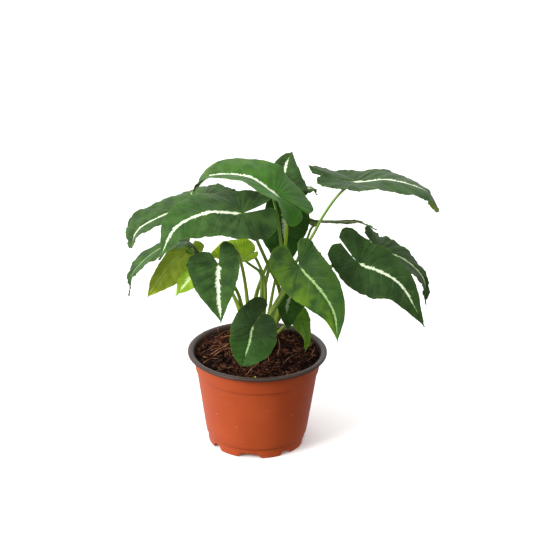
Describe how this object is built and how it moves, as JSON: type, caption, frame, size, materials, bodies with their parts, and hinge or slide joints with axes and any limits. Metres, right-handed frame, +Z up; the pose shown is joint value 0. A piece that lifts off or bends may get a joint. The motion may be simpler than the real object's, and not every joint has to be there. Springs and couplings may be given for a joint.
{
  "type": "potted arrowhead plant",
  "caption": "Young arrowhead vine in a round plastic nursery pot: arrow-shaped leaves on long stalks rise in a clump from the soil; it stands on the pot's foot.",
  "frame": {"origin": "centre of the pot's foot, on the ground, at the middle of the pad in its floor", "axes": "+Z up along the pot's axis, -Y towards the side the picture shows, +X to the right as seen from there"},
  "size_m": [0.2612, 0.1356, 0.251],
  "materials": {
    "pot": "terracotta-coloured thermoformed plastic, satin",
    "soil": "damp peat and coir",
    "stalk": "smooth green leaf stalk, satin",
    "blade": "velvety dark green leaf",
    "young_blade": "soft yellow-green young leaf"
  },
  "bodies": {
    "root": {"pot": "pot", "soil": "soil", "shoot_left": "stalk", "shoot_front": "stalk", "shoot_middle": "stalk", "shoot_right": "stalk", "shoot_far": "stalk", "leaf_top": "blade", "leaf_big_left": "blade", "leaf_outer_left": "blade", "leaf_low_left": "blade", "leaf_yellow_left": "young_blade", "leaf_lime_left": "young_blade", "leaf_heart_left": "blade", "leaf_lime_middle": "young_blade", "leaf_heart_right": "blade", "leaf_upper_right": "blade", "leaf_lower_right": "blade", "leaf_outer_right": "blade", "leaf_flat_right": "blade", "leaf_tip_up": "blade", "leaf_behind_right": "blade", "leaf_hanging": "blade", "leaf_front": "blade", "leaf_inner_right": "blade", "leaf_low_right": "young_blade"}
  },
  "joints": []
}
